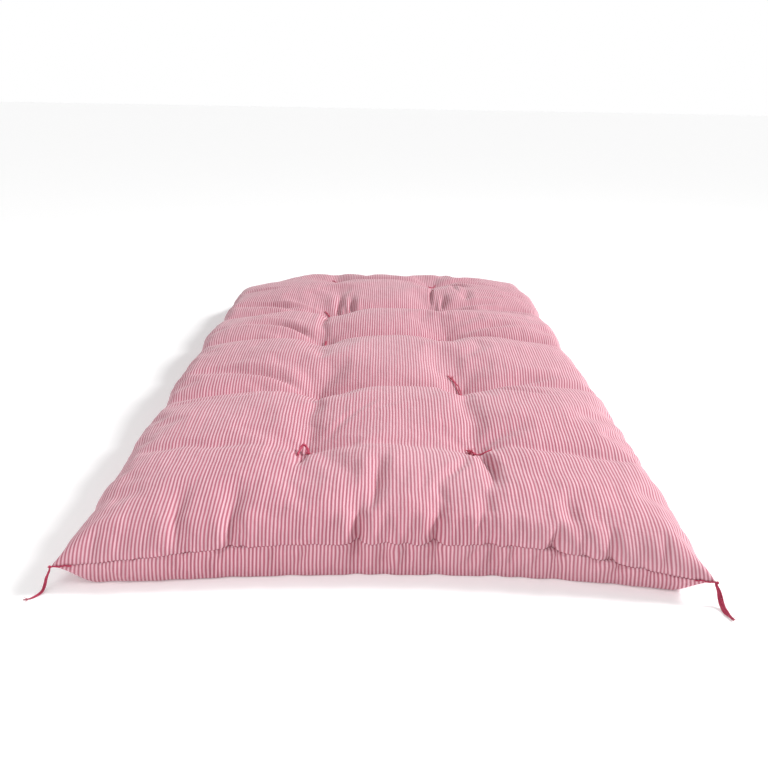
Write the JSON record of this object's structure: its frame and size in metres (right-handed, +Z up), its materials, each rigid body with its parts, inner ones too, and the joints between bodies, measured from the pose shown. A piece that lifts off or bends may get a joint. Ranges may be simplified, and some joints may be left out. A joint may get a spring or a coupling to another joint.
{
  "type": "tufted floor mattress",
  "caption": "Flat padded floor mattress in striped ticking, tied through in dimples, drawn in along its ends, with a thin ear and a yarn tassel at each corner; for sleeping on.",
  "frame": {"origin": "on the floor under the middle of the mattress", "axes": "+X across to the right, +Y along the length away from the end that faces the viewer, +Z up"},
  "size_m": [1.0694, 2.1188, 0.137],
  "materials": {
    "ticking": "woven cotton ticking in narrow lengthwise stripes of rose and pale pink, matt",
    "yarn": "twisted crimson cotton yarn, matt"
  },
  "bodies": {
    "root": {"cover": "ticking", "tie_1_left": "yarn", "tie_1_right": "yarn", "tie_2_left": "yarn", "tie_2_right": "yarn", "tie_3_left": "yarn", "tie_3_right": "yarn", "tie_4_left": "yarn", "tie_4_right": "yarn", "tie_5_left": "yarn", "tie_5_right": "yarn", "tassel_front_left": "yarn", "tassel_front_right": "yarn", "tassel_back_right": "yarn", "tassel_back_left": "yarn"}
  },
  "joints": []
}
